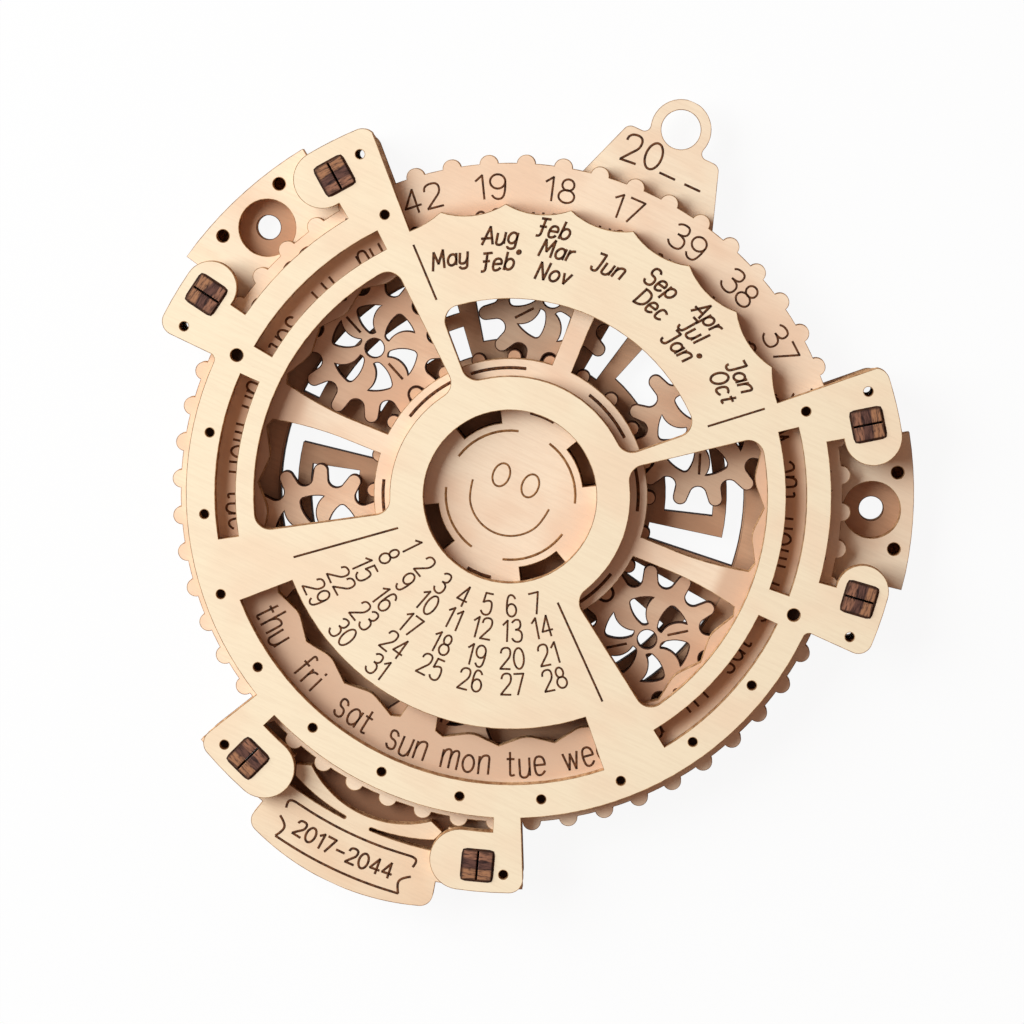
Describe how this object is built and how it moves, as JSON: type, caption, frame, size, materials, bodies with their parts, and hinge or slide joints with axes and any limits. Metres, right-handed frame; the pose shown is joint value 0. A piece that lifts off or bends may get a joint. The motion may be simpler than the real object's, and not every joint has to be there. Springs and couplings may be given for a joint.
{
  "type": "perpetual calendar",
  "caption": "Round layered plywood perpetual calendar with a turning year dial, planetary gears behind windows and a hanging ring.",
  "frame": {"origin": "on the dial's axis, at the rear face that lies on the table or the wall", "axes": "+Z out of the face that is read; +Y from the dial's axis to the hanging ring; +X to the reader's right"},
  "size_m": [0.1582, 0.1733, 0.0123],
  "materials": {
    "front_wood": "pale raw plywood, laser-engraved, satin",
    "dial_wood": "raw plywood with a pinkish cast, laser-engraved, satin",
    "gear_wood": "raw plywood, tan, with dark cut edges",
    "frame_wood": "raw plywood, laser-engraved, satin",
    "rear_wood": "raw plywood, tan",
    "slip_wood": "thin veneer",
    "label_wood": "raw plywood, laser-engraved, satin",
    "spacer_wood": "raw plywood with dark cut edges",
    "peg_wood": "end grain and plies, burnt dark brown"
  },
  "bodies": {
    "frame": {"front_plate": "front_wood", "gear_frame": "frame_wood", "rear_plate": "rear_wood", "centre_boss": "rear_wood", "detent_plate": "label_wood", "left_upper_ear_spacer": "spacer_wood", "left_lower_ear_spacer": "spacer_wood", "right_upper_ear_spacer": "spacer_wood", "right_lower_ear_spacer": "spacer_wood", "peg_1": "peg_wood", "peg_2": "peg_wood", "peg_3": "peg_wood", "peg_4": "peg_wood", "peg_5": "peg_wood", "peg_6": "peg_wood"},
    "dial": {"year_disc": "dial_wood", "sun_gear": "gear_wood"},
    "planet_train": {"slip_ring": "slip_wood"},
    "planet_1": {"planet_gear_1": "gear_wood"},
    "planet_2": {"planet_gear_2": "gear_wood"},
    "planet_3": {"planet_gear_3": "gear_wood"},
    "planet_4": {"planet_gear_4": "gear_wood"},
    "planet_5": {"planet_gear_5": "gear_wood"},
    "planet_6": {"planet_gear_6": "gear_wood"}
  },
  "joints": [
    {"name": "dial_turn", "type": "hinge", "parent": "frame", "child": "dial", "pos_m": [0, 0, 0.0075], "axis": [0, 0, 1], "continuous": true},
    {"name": "planet_orbit", "type": "hinge", "parent": "frame", "child": "planet_train", "pos_m": [0, 0, 0.0031], "axis": [0, 0, 1], "continuous": true},
    {"name": "planet_1_spin", "type": "hinge", "parent": "planet_train", "child": "planet_1", "pos_m": [0.02936, 0.02738, 0.0047], "axis": [0, 0, 1], "continuous": true},
    {"name": "planet_2_spin", "type": "hinge", "parent": "planet_train", "child": "planet_2", "pos_m": [-0.00903, 0.03911, 0.0047], "axis": [0, 0, 1], "continuous": true},
    {"name": "planet_3_spin", "type": "hinge", "parent": "planet_train", "child": "planet_3", "pos_m": [-0.03722, 0.01504, 0.0047], "axis": [0, 0, 1], "continuous": true},
    {"name": "planet_4_spin", "type": "hinge", "parent": "planet_train", "child": "planet_4", "pos_m": [-0.03163, -0.02471, 0.0047], "axis": [0, 0, 1], "continuous": true},
    {"name": "planet_5_spin", "type": "hinge", "parent": "planet_train", "child": "planet_5", "pos_m": [0.00559, -0.03975, 0.0047], "axis": [0, 0, 1], "continuous": true},
    {"name": "planet_6_spin", "type": "hinge", "parent": "planet_train", "child": "planet_6", "pos_m": [0.03722, -0.01504, 0.0047], "axis": [0, 0, 1], "continuous": true}
  ],
  "couplings": [
    {"joint": "planet_orbit", "follows": "dial_turn", "ratio": 0.33333},
    {"joint": "planet_1_spin", "follows": "dial_turn", "ratio": -1.3333},
    {"joint": "planet_2_spin", "follows": "dial_turn", "ratio": -1.3333},
    {"joint": "planet_3_spin", "follows": "dial_turn", "ratio": -1.3333},
    {"joint": "planet_4_spin", "follows": "dial_turn", "ratio": -1.3333},
    {"joint": "planet_5_spin", "follows": "dial_turn", "ratio": -1.3333},
    {"joint": "planet_6_spin", "follows": "dial_turn", "ratio": -1.3333}
  ]
}
